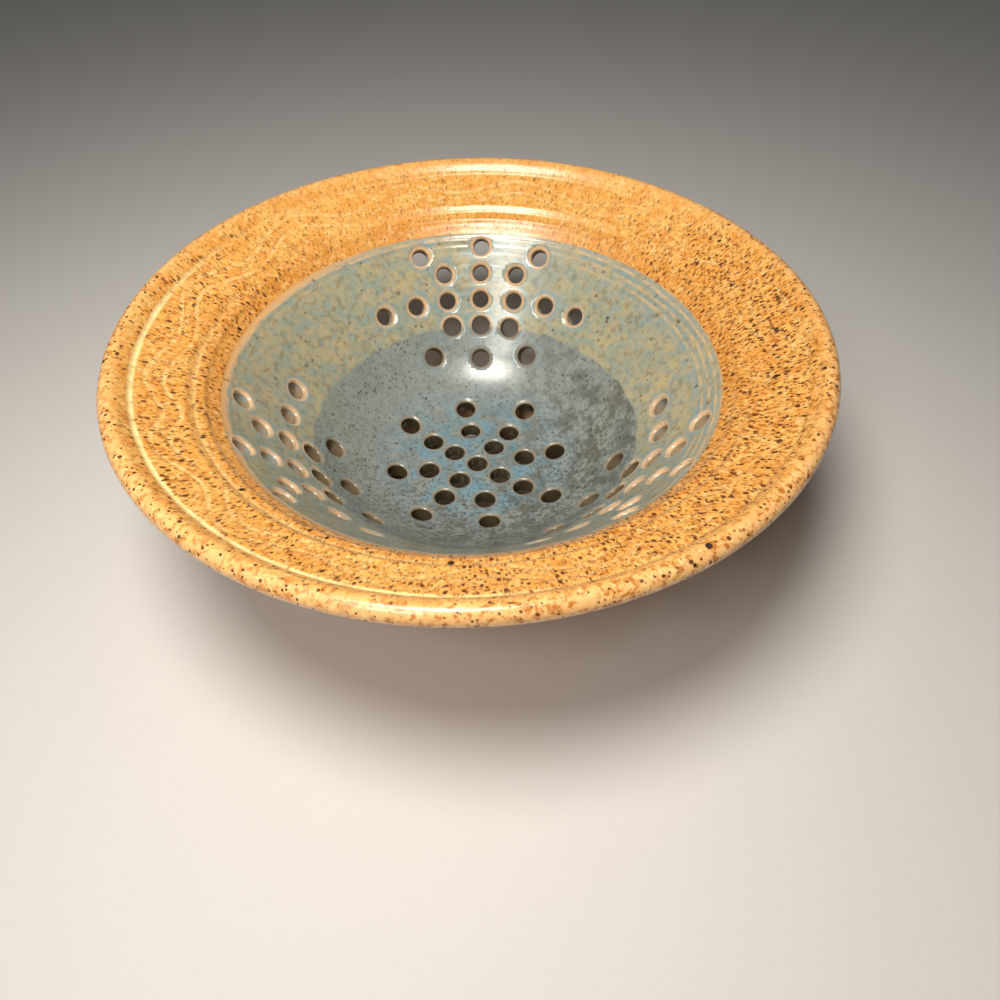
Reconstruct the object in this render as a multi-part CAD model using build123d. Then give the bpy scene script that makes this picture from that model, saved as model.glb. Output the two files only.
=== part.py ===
"""Berry colander bowl: a wheel-thrown stoneware bowl with star patterns of drain holes.

Millimetres and degrees. +Z is up, and the origin is the middle of the foot on the table.
"""
from build123d import *
from math import asin, atan2, cos, degrees, hypot, radians, sin, tan
import os

# Rim and flange
rim_diameter = 210.0
lip_round = 3.0
lip_drop = 1.6
lip_width = 7.9
band_angle = 27.8
shoulder_angle = 40.0
shoulder_width = 6.3

# Well, wall and floor
well_diameter = 152.4
wall_angle = 50.0
bowl_round = 42.3
floor_flat_diameter = 34.8
wall_thickness = 6.0

# Foot ring
foot_clearance = 8.0
foot_width = 6.5
foot_margin = 6.7
foot_round = 1.2

# Glaze coats
glaze_thickness = 0.5
slate_drop = 10.1
bare_above_foot = 2.0

# Turned lines
groove_round = 1.2
groove_depth = 0.5
edge_line_inset = 0.8

# Drain holes
hole_diameter = 7.0
glaze_pullback = 0.8
punch_reach = 2.0
long_arm_radii = (10.0, 19.5, 30.8)
short_arm_radii = (17.2, 28.1)
star_arms = 4
star_angle = 7.0
cluster_azimuths = (86.0, 204.4, 320.5)
top_margin = 4.8
row_pitch = 9.8
hole_pitch = 12.4
top_tip_reach = 19.2
top_tip_drop = 2.5
low_tip_reach = 22.9
low_hole_drop = 2.8

# Heights and radii that follow from the sizes above
floor_top = foot_clearance + wall_thickness
flat_radius = floor_flat_diameter / 2
rim_radius = rim_diameter / 2
well_radius = well_diameter / 2
round_centre = (flat_radius, floor_top + bowl_round)
foot_inner = max(long_arm_radii + short_arm_radii) + foot_margin
foot_outer = foot_inner + foot_width


def on_line(point, slope, radius):
    """The point at a radius on the line through a point."""
    return (radius, point[1] + (radius - point[0]) * tan(radians(slope)))


def sunk(point, slope, depth):
    """A point moved square to a sloping face, downwards for a positive depth."""
    return (point[0] + depth * sin(radians(slope)), point[1] - depth * cos(radians(slope)))


def meet(point_a, slope_a, point_b, slope_b):
    """Where two sloping lines cross."""
    rise_a = tan(radians(slope_a))
    rise_b = tan(radians(slope_b))
    radius = (point_b[1] - point_a[1] + rise_a * point_a[0] - rise_b * point_b[0]) / (rise_a - rise_b)
    return (radius, point_a[1] + rise_a * (radius - point_a[0]))


def tangent_slope(point, centre, radius, side):
    """The slope of the line from a point that touches a circle above or below."""
    run = centre[0] - point[0]
    rise = centre[1] - point[1]
    return degrees(atan2(rise, run) + side * asin(radius / hypot(run, rise)))


# Corners of the glazed section, from the wall's foot out to the lip
wall_start = sunk(round_centre, wall_angle, bowl_round)
well_edge = on_line(wall_start, wall_angle, well_radius)
cluster_drop = top_margin + 2 * row_pitch
slate_run = cluster_drop + slate_drop
slate_border = on_line(wall_start, wall_angle, well_radius - slate_run * cos(radians(wall_angle)))
band_start = on_line(well_edge, shoulder_angle, well_radius + shoulder_width)
band_end = on_line(band_start, band_angle, rim_radius - lip_width)
lip_base = on_line(band_start, band_angle, rim_radius - lip_round)
lip_centre = (lip_base[0], lip_base[1] - lip_drop)
outside_wall = sunk(wall_start, wall_angle, wall_thickness)
outside_shoulder = sunk(well_edge, shoulder_angle, wall_thickness)
outside_corner = meet(outside_wall, wall_angle, outside_shoulder, shoulder_angle)
rise_slope = tangent_slope(band_end, lip_centre, lip_round, 1)
under_slope = tangent_slope(outside_corner, lip_centre, lip_round, -1)


def outline(inset):
    """The section's edges in order, all moved into the clay by an inset."""
    border = sunk(slate_border, wall_angle, inset)
    wall = sunk(wall_start, wall_angle, inset)
    shoulder = sunk(well_edge, shoulder_angle, inset)
    band = sunk(band_start, band_angle, inset)
    rise = sunk(band_end, rise_slope, inset)
    under = sunk(outside_corner, under_slope, -inset)
    outside = sunk(outside_wall, wall_angle, -inset)
    edge = meet(wall, wall_angle, shoulder, shoulder_angle)
    line_in = meet(shoulder, shoulder_angle, band, band_angle)
    line_out = meet(band, band_angle, rise, rise_slope)
    lip_top = sunk(lip_centre, rise_slope, inset - lip_round)
    lip_bottom = sunk(lip_centre, under_slope, lip_round - inset)
    corner = meet(under, under_slope, outside, wall_angle)
    top = floor_top - inset
    bottom = foot_clearance + inset
    lip_turn = under_slope - rise_slope - 180
    return [
        Line((0, top), (flat_radius, top)),
        CenterArc(round_centre, bowl_round + inset, -90, wall_angle),
        Line(wall, border),
        Line(border, edge),
        Line(edge, line_in),
        Line(line_in, line_out),
        Line(line_out, lip_top),
        CenterArc(lip_centre, lip_round - inset, 90 + rise_slope, lip_turn),
        Line(lip_bottom, corner),
        Line(corner, outside),
        CenterArc(round_centre, bowl_round + wall_thickness - inset, wall_angle - 90, -wall_angle),
        Line((flat_radius, bottom), (0, bottom)),
    ]


def closed(edges):
    """A face from edges in order, with straight lines across the gaps between them."""
    join_tolerance = 1e-6
    bridges = []
    for edge, following in zip(edges, edges[1:] + edges[:1]):
        if (following @ 0 - edge @ 1).length > join_tolerance:
            bridges.append(Line(edge @ 1, following @ 0))
    return make_face(list(edges) + bridges)


def turned_lines(inset):
    """Discs that scoop the three turned lines out of the section."""
    air = groove_depth - groove_round
    edge_line = on_line(well_edge, wall_angle, well_radius - edge_line_inset)
    scoop = Circle(groove_round + inset)
    return [
        Pos(*sunk(edge_line, wall_angle, air)) * scoop,
        Pos(*sunk(band_start, (shoulder_angle + band_angle) / 2, air)) * scoop,
        Pos(*sunk(band_end, band_angle, air)) * scoop,
    ]


def section(inset):
    """The bowl's half section at an inset, with its turned lines."""
    return closed(outline(inset)) - turned_lines(inset)


def stretch(name):
    """A strip along one stretch of the outline, from the air into the clay."""
    edges = {"floor": slice(0, 3), "wall": slice(3, 4), "flange": slice(4, 8), "outside": slice(8, 12)}[name]
    reach = wall_thickness / 3
    inner = outline(reach)[edges]
    outer = outline(-reach)[edges]
    back = [Edge(edge.wrapped).reversed() for edge in reversed(inner)]
    return closed(outer + back)


def turned(face):
    """A half section turned round the bowl's axis."""
    return revolve(Plane.XZ * face, Axis.Z)


def wall_place(run):
    """Radius, height and slope of the inside at a run measured from the middle of the floor."""
    bend = radians(wall_angle) * bowl_round
    if run <= flat_radius:
        return run, floor_top, 0.0
    if run <= flat_radius + bend:
        slope = degrees((run - flat_radius) / bowl_round)
        return *sunk(round_centre, slope, bowl_round), slope
    straight = run - flat_radius - bend
    radius = wall_start[0] + straight * cos(radians(wall_angle))
    return *on_line(wall_start, wall_angle, radius), wall_angle


def run_at(radius):
    """The run along the inside to a radius on the floor or its round."""
    if radius <= flat_radius:
        return radius
    return flat_radius + bowl_round * asin((radius - flat_radius) / bowl_round)


def punch(diameter):
    """A rod as wide as a hole, long enough to pass right through the wall."""
    length = wall_thickness + 2 * punch_reach
    return Pos(0, 0, punch_reach - length / 2) * Cylinder(diameter / 2, length)


def punched(run, azimuth, tool):
    """A hole square to the inside at a run and an azimuth."""
    radius, height, slope = wall_place(run)
    place = Plane(origin=(radius, 0, height), z_dir=(-sin(radians(slope)), 0, cos(radians(slope))))
    return Rot(0, 0, azimuth) * (place * tool)


def star_holes(tool):
    """The floor's star: one middle hole, long arms and short arms between them."""
    holes = [punched(0, 0, tool)]
    for arm in range(star_arms):
        short_turn = star_angle + arm * 360 / star_arms
        long_turn = short_turn + 180 / star_arms
        holes += [punched(run_at(radius), long_turn, tool) for radius in long_arm_radii]
        holes += [punched(run_at(radius), short_turn, tool) for radius in short_arm_radii]
    return holes


def cluster_holes(tool):
    """The wall's three stars: a long middle row, a short row each side of it and tips above and below."""
    wall_run = (well_radius - wall_start[0]) / cos(radians(wall_angle))
    edge_run = flat_radius + radians(wall_angle) * bowl_round + wall_run
    middle_run = edge_run - cluster_drop
    middle_radius = wall_place(middle_run)[0]
    rows = [
        (2 * row_pitch, (0,)),
        (2 * row_pitch - top_tip_drop, (-top_tip_reach, top_tip_reach)),
        (row_pitch, (-hole_pitch, 0, hole_pitch)),
        (0, [place * hole_pitch for place in range(-3, 4)]),
        (-row_pitch, (-hole_pitch, 0, hole_pitch)),
        (-2 * row_pitch, (-low_tip_reach, low_tip_reach)),
        (-2 * row_pitch - low_hole_drop, (0,)),
    ]
    holes = []
    for azimuth in cluster_azimuths:
        for rise, places in rows:
            turns = [azimuth + degrees(place / middle_radius) for place in places]
            holes += [punched(middle_run + rise, turn, tool) for turn in turns]
    return holes


def foot_ring():
    """The bare ring that the bowl stands on, up to the clay's underside."""
    lower = outline(glaze_thickness)[9:12]
    lid = [Line((0, lip_centre[1]), (rim_radius, lip_centre[1]))]
    room_above = closed(lower + lid)
    blank = Pos(foot_inner, 0) * Rectangle(foot_width, lip_centre[1], align=(Align.MIN, Align.MIN))
    soles = blank.vertices().filter_by_position(Axis.Y, -foot_round / 2, foot_round / 2)
    return turned(fillet(soles, foot_round) - room_above)


skin = section(0) - section(glaze_thickness)
bare_foot = Rectangle(2 * (foot_outer + bare_above_foot), 2 * lip_centre[1])
bore = punch(hole_diameter)
halo = punch(hole_diameter + 2 * glaze_pullback)
all_halos = star_holes(halo) + cluster_holes(halo)

pieces = {
    "clay_bowl": turned(section(glaze_thickness)) - star_holes(bore) - cluster_holes(bore),
    "foot_ring": foot_ring(),
    "floor_glaze": turned(skin & stretch("floor")) - all_halos,
    "wall_glaze": turned(skin & stretch("wall")) - all_halos,
    "flange_glaze": turned(skin & stretch("flange")),
    "outside_glaze": turned((skin & stretch("outside")) - bare_foot) - cluster_holes(halo),
}

os.makedirs("parts", exist_ok=True)
for node, piece in pieces.items():
    export_step(piece, f"parts/{node}.step")
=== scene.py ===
"""Looks for a wheel-thrown berry colander bowl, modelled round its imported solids.

Lengths are metres, +Z is up and the foot stands on the plane Z = 0.
"""

import random
from functools import reduce
from math import asin, atan2, cos, hypot, pi, radians, sin, tan

import bpy
import numpy as np
from bpy.props import FloatProperty, FloatVectorProperty, IntProperty, PointerProperty
from mathutils import Matrix, Vector


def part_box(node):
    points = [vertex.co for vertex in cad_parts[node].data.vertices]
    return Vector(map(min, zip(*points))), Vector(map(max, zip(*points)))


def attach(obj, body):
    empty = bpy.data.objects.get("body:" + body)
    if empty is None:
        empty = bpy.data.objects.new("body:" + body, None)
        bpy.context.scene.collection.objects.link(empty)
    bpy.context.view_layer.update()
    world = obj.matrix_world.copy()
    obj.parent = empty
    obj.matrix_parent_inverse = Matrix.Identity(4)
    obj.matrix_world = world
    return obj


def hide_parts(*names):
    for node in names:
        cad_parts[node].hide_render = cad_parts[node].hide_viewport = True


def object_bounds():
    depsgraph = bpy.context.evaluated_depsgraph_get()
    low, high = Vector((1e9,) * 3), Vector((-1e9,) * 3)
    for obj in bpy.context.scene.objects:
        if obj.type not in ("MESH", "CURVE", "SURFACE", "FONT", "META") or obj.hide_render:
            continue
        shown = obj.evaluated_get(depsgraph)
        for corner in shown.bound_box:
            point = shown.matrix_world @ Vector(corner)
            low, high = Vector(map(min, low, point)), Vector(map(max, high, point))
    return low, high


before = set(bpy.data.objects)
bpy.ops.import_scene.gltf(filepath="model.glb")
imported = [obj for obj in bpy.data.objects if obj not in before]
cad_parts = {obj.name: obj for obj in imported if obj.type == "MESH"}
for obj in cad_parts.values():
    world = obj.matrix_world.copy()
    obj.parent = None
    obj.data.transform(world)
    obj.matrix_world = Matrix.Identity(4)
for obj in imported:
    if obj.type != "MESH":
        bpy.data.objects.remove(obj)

CAD_LOW, CAD_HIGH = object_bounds()

bl_info = {
    "name": "Berry colander bowl",
    "version": (1, 0, 0),
    "blender": (4, 5, 0),
    "location": "View3D > Sidebar > Berry bowl",
    "description": "Models a glazed stoneware berry bowl and its stage",
    "category": "Add Mesh",
}

# Units, spacing of the drawn section, and how far marks and masks reach
MM = 0.001
FINE = 0.1 * MM
MERGE = 0.001 * MM
LINE_REACH = 3.0 * MM
HOLE_REACH = 4.0 * MM
RIPPLE_RISE = 10 * MM
RIPPLE_FALL = 4 * MM
COAT_SPREAD = 0.383 * MM
SHADE_ANGLE = radians(40)

# Hand-drawn waves: how many round the bowl, how high and from where
RIM_LEVEL = 0.5
RIM_IN = ((2, -0.3, 0.7), (3, -0.2, 2.1))
RIM_DOWN = ((2, -0.35, 2.6), (5, -0.15, 0.4))
COMB_UNEVEN = ((3, 0.15, 1.0), (7, 0.1, 0.0))

# Crests of the combed wave in degrees, and the burr beside a combed line
COMB_CRESTS = (19.5, 46, 77, 105, 133, 162, 190, 207, 231, 258, 284, 305, 328, 350)
COMB_STEP = 0.5 * MM
BURR_HEIGHT = 0.3
BURR_PLACE = 2

# Arms of the floor's star, azimuths of the wall's stars in degrees, and the punch
SEED = 347
STAR_ARMS = 4
LONG_ARM_RADII = (10.0 * MM, 19.5 * MM, 30.8 * MM)
SHORT_ARM_RADII = (17.2 * MM, 28.1 * MM)
STAR_AZIMUTHS = (86.0, 204.4, 320.5)
EASE_TURN = radians(60)
MOUTH_STEPS = 7
PUNCH_STEPS = 40

# Steps round the wheel and spacing along the section of each piece, and strides along the foot
WHEEL = {
    "clay_bowl_body": (240, 1.6 * MM),
    "foot_ring_turned": (240, 0.8 * MM),
    "floor_glaze_coat": (320, 0.9 * MM),
    "wall_glaze_coat": (400, 0.9 * MM),
    "flange_glaze_coat": (720, 0.42 * MM),
    "outside_glaze_coat": (360, 1.2 * MM),
}
BACK_SPACING = 2.5 * MM
SIDE_STRIDE, SOLE_STRIDE = 8, 2

# Stage: each lamp's place and tint, and how the camera stands
FLOOR_CORNERS = 96
AIM = Vector((0, 0, 0.05))
LAMPS = {
    "key": ((-0.05, -0.1, 0.38), (1.0, 0.95, 0.87)),
    "front": ((-0.15, -0.3, 0.39), (1.0, 0.97, 0.92)),
    "fill": ((-0.5, -0.5, 1.1), (1.0, 0.98, 0.95)),
}
SKY_TINT = (1.0, 0.99, 0.97, 1.0)
CAMERA_PLACE = (0.0, -0.18431, 0.20447)
CAMERA_TURN = (41.152, 0.501, -3.061)
SENSOR = 36.0
NEAR_CLIP = 0.01


def setting(kind, **limits):
    """A maker of settings of one kind, each with its name, description and default."""
    def make(name, description, default):
        return kind(name=name, description=description, default=default, **limits)
    return make


length = setting(FloatProperty, min=0.0, unit="LENGTH", precision=5)
turn = setting(FloatProperty, subtype="ANGLE")
share = setting(FloatProperty)
count = setting(IntProperty, min=1)
colour = setting(FloatVectorProperty, subtype="COLOR", min=0.0, max=1.0)


class BowlShape(bpy.types.PropertyGroup):
    """Sizes of the thrown and turned body"""

    rim_radius: length("Rim radius", "From the axis to the outside of the lip", CAD_HIGH.x)
    lip_round: length("Lip round", "Radius of the rolled lip", 3.0 * MM)
    lip_drop: length("Lip drop", "How far the lip's middle lies under the flange's face", 1.6 * MM)
    lip_width: length("Lip width", "From the outer turned line to the outside of the lip", 7.9 * MM)
    band_slope: turn("Band slope", "Slope of the flange between its turned lines", radians(27.8))
    shoulder_slope: turn("Shoulder slope", "Slope of the flange beside the well", radians(40.0))
    shoulder_width: length("Shoulder width", "From the well's edge to the inner turned line", 6.3 * MM)
    well_radius: length("Well radius", "From the axis to the well's edge", 76.2 * MM)
    wall_slope: turn("Wall slope", "Slope of the straight part of the wall", radians(50.0))
    bowl_round: length("Bowl round", "Inside radius between floor and wall", 42.3 * MM)
    flat_radius: length("Flat radius", "Radius of the flat middle of the floor", 17.4 * MM)
    wall_thickness: length("Wall thickness", "Through the floor and wall", 6.0 * MM)
    foot_clearance: length("Foot clearance", "From the table to the underside of the floor", 8.0 * MM)
    glaze: length("Glaze", "Thickness of a glaze coat", 0.5 * MM)
    softness: length("Softness", "How far each corner is smoothed by the sponge", 1.0 * MM)
    slate_radius: length(
        "Slate radius", "From the axis to the border of the slate glaze",
        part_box("floor_glaze")[1].x - COAT_SPREAD)
    bare_above_foot: length("Bare clay", "Width of the bare clay outside the foot", 2.0 * MM)
    foot_outer: length("Foot radius", "Outside radius of the foot ring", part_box("foot_ring")[1].x)
    foot_width: length("Foot width", "Width of the foot ring", 6.5 * MM)
    foot_round: length("Foot round", "Radius of the foot's lower edges", 1.2 * MM)
    rim_wobble: length("Rim wobble", "How far the hand-thrown rim leaves a true circle", 0.5 * MM)


class TurnedLines(bpy.types.PropertyGroup):
    """Turned lines and the combed wave on the flange"""

    line_depth: length("Line depth", "Depth of the turned lines", 0.4 * MM)
    ring_depth: length("Ring depth", "Depth of the first ring under the well's edge", 0.24 * MM)
    ring_width: length("Ring width", "Half the width of the rings under the well's edge", 0.85 * MM)
    line_width: length("Line width", "Half the width of the turned lines", 0.75 * MM)
    ridge_height: length("Ridge height", "Height of the ridges beside the inner line", 0.45 * MM)
    ridge_width: length("Ridge width", "Half the width of the ridges", 1.1 * MM)
    ridge_gap: length("Ridge gap", "From the inner line to the ridge on each side", 2.9 * MM)
    edge_line: length("Edge line", "From the well's edge down to the first ring under it", 1.1 * MM)
    edge_pitch: length("Edge pitch", "From one ring under the well's edge to the next", 2.6 * MM)
    edge_fade: share("Edge fade", "Depth of each ring under the edge as a share of the one above", 0.55)
    edge_rings: count("Edge rings", "Turned rings under the well's edge", 3)
    ripple_height: length("Ripple height", "Height of the throwing rings in the wall", 0.03 * MM)
    ripple_pitch: length("Ripple pitch", "From one throwing ring to the next", 3.4 * MM)
    comb_radius: length("Comb radius", "Middle of the outer combed line", 92.0 * MM)
    comb_gap: length("Comb gap", "From one combed line to the next", 4.9 * MM)
    comb_reach: length("Comb reach", "Half the height of a wave", 3.0 * MM)
    comb_depth: length("Comb depth", "Depth of a combed line", 0.18 * MM)
    comb_width: length("Comb width", "Half the width of a combed line", 0.6 * MM)
    comb_lines: count("Comb lines", "Lines that the comb draws", 2)


class DrainHoles(bpy.types.PropertyGroup):
    """Sizes and layout of the drain holes"""

    low_bore: length("Low bore", "Radius of a hole in or beside the slate, inside its glaze", 3.4 * MM)
    high_bore: length("High bore", "Radius of a hole above the slate, inside its glaze", 2.95 * MM)
    low_mouth: length(
        "Low mouth", "Radius of the sponged edge of a hole in or beside the slate", 0.9 * MM)
    high_mouth: length("High mouth", "Radius of the sponged edge of a hole above the slate", 1.5 * MM)
    mouth_turn: turn("Mouth turn", "How far round the edge of a hole is rounded", radians(68.0))
    reach: length("Punch reach", "How far the punch stands out of the wall", 1.6 * MM)
    skim: length("Skim", "How far above the wall the rounded edge of a hole ends", 0.12 * MM)
    ease: length("Ease", "Height of the gentler cut through a ridge beside a hole", 0.4 * MM)
    star_turn: turn("Star turn", "Azimuth of the first short arm of the floor's star", radians(7.0))
    top_margin: length("Top margin", "From the well's edge down to the top row", 4.8 * MM)
    row_pitch: length("Row pitch", "From one row to the next along the wall", 9.8 * MM)
    hole_pitch: length("Hole pitch", "From one hole to the next in the middle row", 12.4 * MM)
    top_tip_reach: length(
        "Top tip reach", "From a wall star's middle to its upper tips, on the middle row", 19.2 * MM)
    top_tip_drop: length("Top tip drop", "How far the upper tips lie under the top hole", 2.5 * MM)
    low_tip_reach: length(
        "Low tip reach", "From a wall star's middle to its lower tips, on the middle row", 22.9 * MM)
    low_hole_drop: length("Low hole drop", "How far the lowest hole lies under the lower tips", 2.8 * MM)
    scatter: length("Scatter", "How far a hand-punched hole strays", 0.22 * MM)


class GlazeColours(bpy.types.PropertyGroup):
    """Colours of the glazes and the clay"""

    tan_light: colour("Light tan", "Tan glaze where it is thick", (0.97, 0.53, 0.14))
    tan_gold: colour("Gold tan", "Tan glaze over most of the flange", (0.9, 0.41, 0.085))
    tan_deep: colour("Deep tan", "Tan glaze where it is thin", (0.66, 0.25, 0.04))
    rust: colour("Rust", "Fine grain in the tan glaze", (0.55, 0.19, 0.028))
    tan_pink: colour("Pink tan", "Tan glaze on the lip", (0.96, 0.56, 0.25))
    # Cream is glaze pooled in the turned lines, and also paints a highlight along them on the left and
    # front-left.
    cream: colour("Cream", "Tan glaze pooled in a turned line", (1.0, 0.8, 0.38))
    umber: colour("Umber", "Iron freckles in the tan glaze", (0.14, 0.042, 0.01))
    iron: colour("Iron", "Large iron specks", (0.03, 0.012, 0.008))
    sage: colour("Sage", "Wall glaze where it is thin", (0.47, 0.42, 0.25))
    sea: colour("Sea", "Wall glaze where it is thick", (0.31, 0.36, 0.295))
    pool_blue: colour("Pool blue", "Wall glaze pooled in a line or beside a hole", (0.235, 0.36, 0.39))
    ochre: colour("Ochre", "Pale mottling in the wall glaze", (0.6, 0.4, 0.185))
    moss: colour("Moss", "Dark mottling in the wall glaze", (0.19, 0.15, 0.08))
    # Glaze worn thin on the well's edge, with a painted highlight that makes it paler on the left.
    worn_edge: colour("Worn edge", "Wall glaze worn thin on the well's edge", (0.85, 0.47, 0.19))
    slate: colour("Slate", "Floor glaze", (0.29, 0.325, 0.305))
    slate_blue: colour("Slate blue", "Floor glaze among the star's holes", (0.18, 0.35, 0.46))
    # Murk paints dark mottling in the floor glaze, and also painted shade over the front of the well and
    # the floor.
    murk: colour("Murk", "Dark mottling in the floor glaze", (0.085, 0.085, 0.07))
    peach: colour("Peach", "Edge of a hole where the glaze breaks thin", (0.8, 0.52, 0.3))
    worn_slate: colour("Worn slate", "Edge of a hole in the floor glaze", (0.33, 0.26, 0.18))
    bore: colour("Bore", "Thin glaze inside a hole in the wall", (0.4, 0.29, 0.17))
    # Thin glaze inside the holes in and near the floor, darkened as painted shade deep in the holes.
    dark_bore: colour("Dark bore", "Thin glaze inside a hole in the floor", (0.075, 0.058, 0.03))
    clay: colour("Clay", "Bare fired clay", (0.56, 0.37, 0.215))
    clay_deep: colour("Deep clay", "Bare clay where it was flashed by the fire", (0.42, 0.23, 0.115))


class StageLook(bpy.types.PropertyGroup):
    """Floor, light and camera"""

    floor_radius: length("Floor radius", "Radius of the floor", 2.5)
    floor_colour: colour("Floor colour", "Colour of the floor", (0.78, 0.765, 0.74))
    key_power: share("Key power", "Power of the key light in watts", 1.24)
    key_size: length("Key size", "Width of the key light", 0.15)
    front_power: share("Front power", "Power of the front light in watts", 0.6)
    front_size: length("Front size", "Width of the front light", 0.14)
    fill_power: share("Fill power", "Power of the fill light in watts", 0.7)
    fill_size: length("Fill size", "Width of the fill light", 0.9)
    sky_strength: share("Sky strength", "Strength of the surrounding light", 0.06)
    lens: share("Lens", "Focal length in millimetres on a 36 mm sensor", 26.58)


class BerryBowl(bpy.types.PropertyGroup):
    """All settings of the berry bowl"""

    shape: PointerProperty(type=BowlShape)
    lines: PointerProperty(type=TurnedLines)
    holes: PointerProperty(type=DrainHoles)
    colours: PointerProperty(type=GlazeColours)
    stage: PointerProperty(type=StageLook)


# Geometry of the half section

def on_line(point, slope, radius):
    """The point at a radius on the sloping line through a point."""
    return (radius, point[1] + (radius - point[0]) * tan(slope))


def sunk(point, slope, depth):
    """A point moved square to a sloping face, downwards for a positive depth."""
    return (point[0] + depth * sin(slope), point[1] - depth * cos(slope))


def meet(point_a, slope_a, point_b, slope_b):
    """Where two sloping lines cross."""
    rise_a = tan(slope_a)
    rise_b = tan(slope_b)
    radius = (point_b[1] - point_a[1] + rise_a * point_a[0] - rise_b * point_b[0]) / (rise_a - rise_b)
    return (radius, point_a[1] + rise_a * (radius - point_a[0]))


def tangent_slope(point, centre, radius, side):
    """The slope of the line from a point that touches a circle above or below."""
    run = centre[0] - point[0]
    rise = centre[1] - point[1]
    return atan2(rise, run) + side * asin(radius / hypot(run, rise))


def straight(start, end):
    """Finely spaced points on a straight line, without its end."""
    pieces = max(2, round(hypot(end[0] - start[0], end[1] - start[1]) / FINE))
    steps = np.arange(pieces)[:, None] / pieces
    return np.array(start) + steps * (np.array(end) - np.array(start))


def bend(centre, radius, start, sweep):
    """Finely spaced points on an arc, without its end."""
    pieces = max(2, round(abs(sweep) * radius / FINE))
    angles = start + sweep * np.arange(pieces) / pieces
    return np.array(centre) + radius * np.stack([np.cos(angles), np.sin(angles)], axis=1)


def softened(points, softness):
    """Points smoothed along their line, as a sponge rounds the corners of wet clay."""
    reach = round(3 * softness / FINE)
    weights = np.exp(-0.5 * (np.arange(-reach, reach + 1) * FINE / softness) ** 2)
    weights /= weights.sum()
    padded = np.pad(points, ((reach, reach), (0, 0)), mode="reflect", reflect_type="odd")
    return np.stack([np.convolve(padded[:, i], weights, mode="valid") for i in (0, 1)], axis=1)


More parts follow.
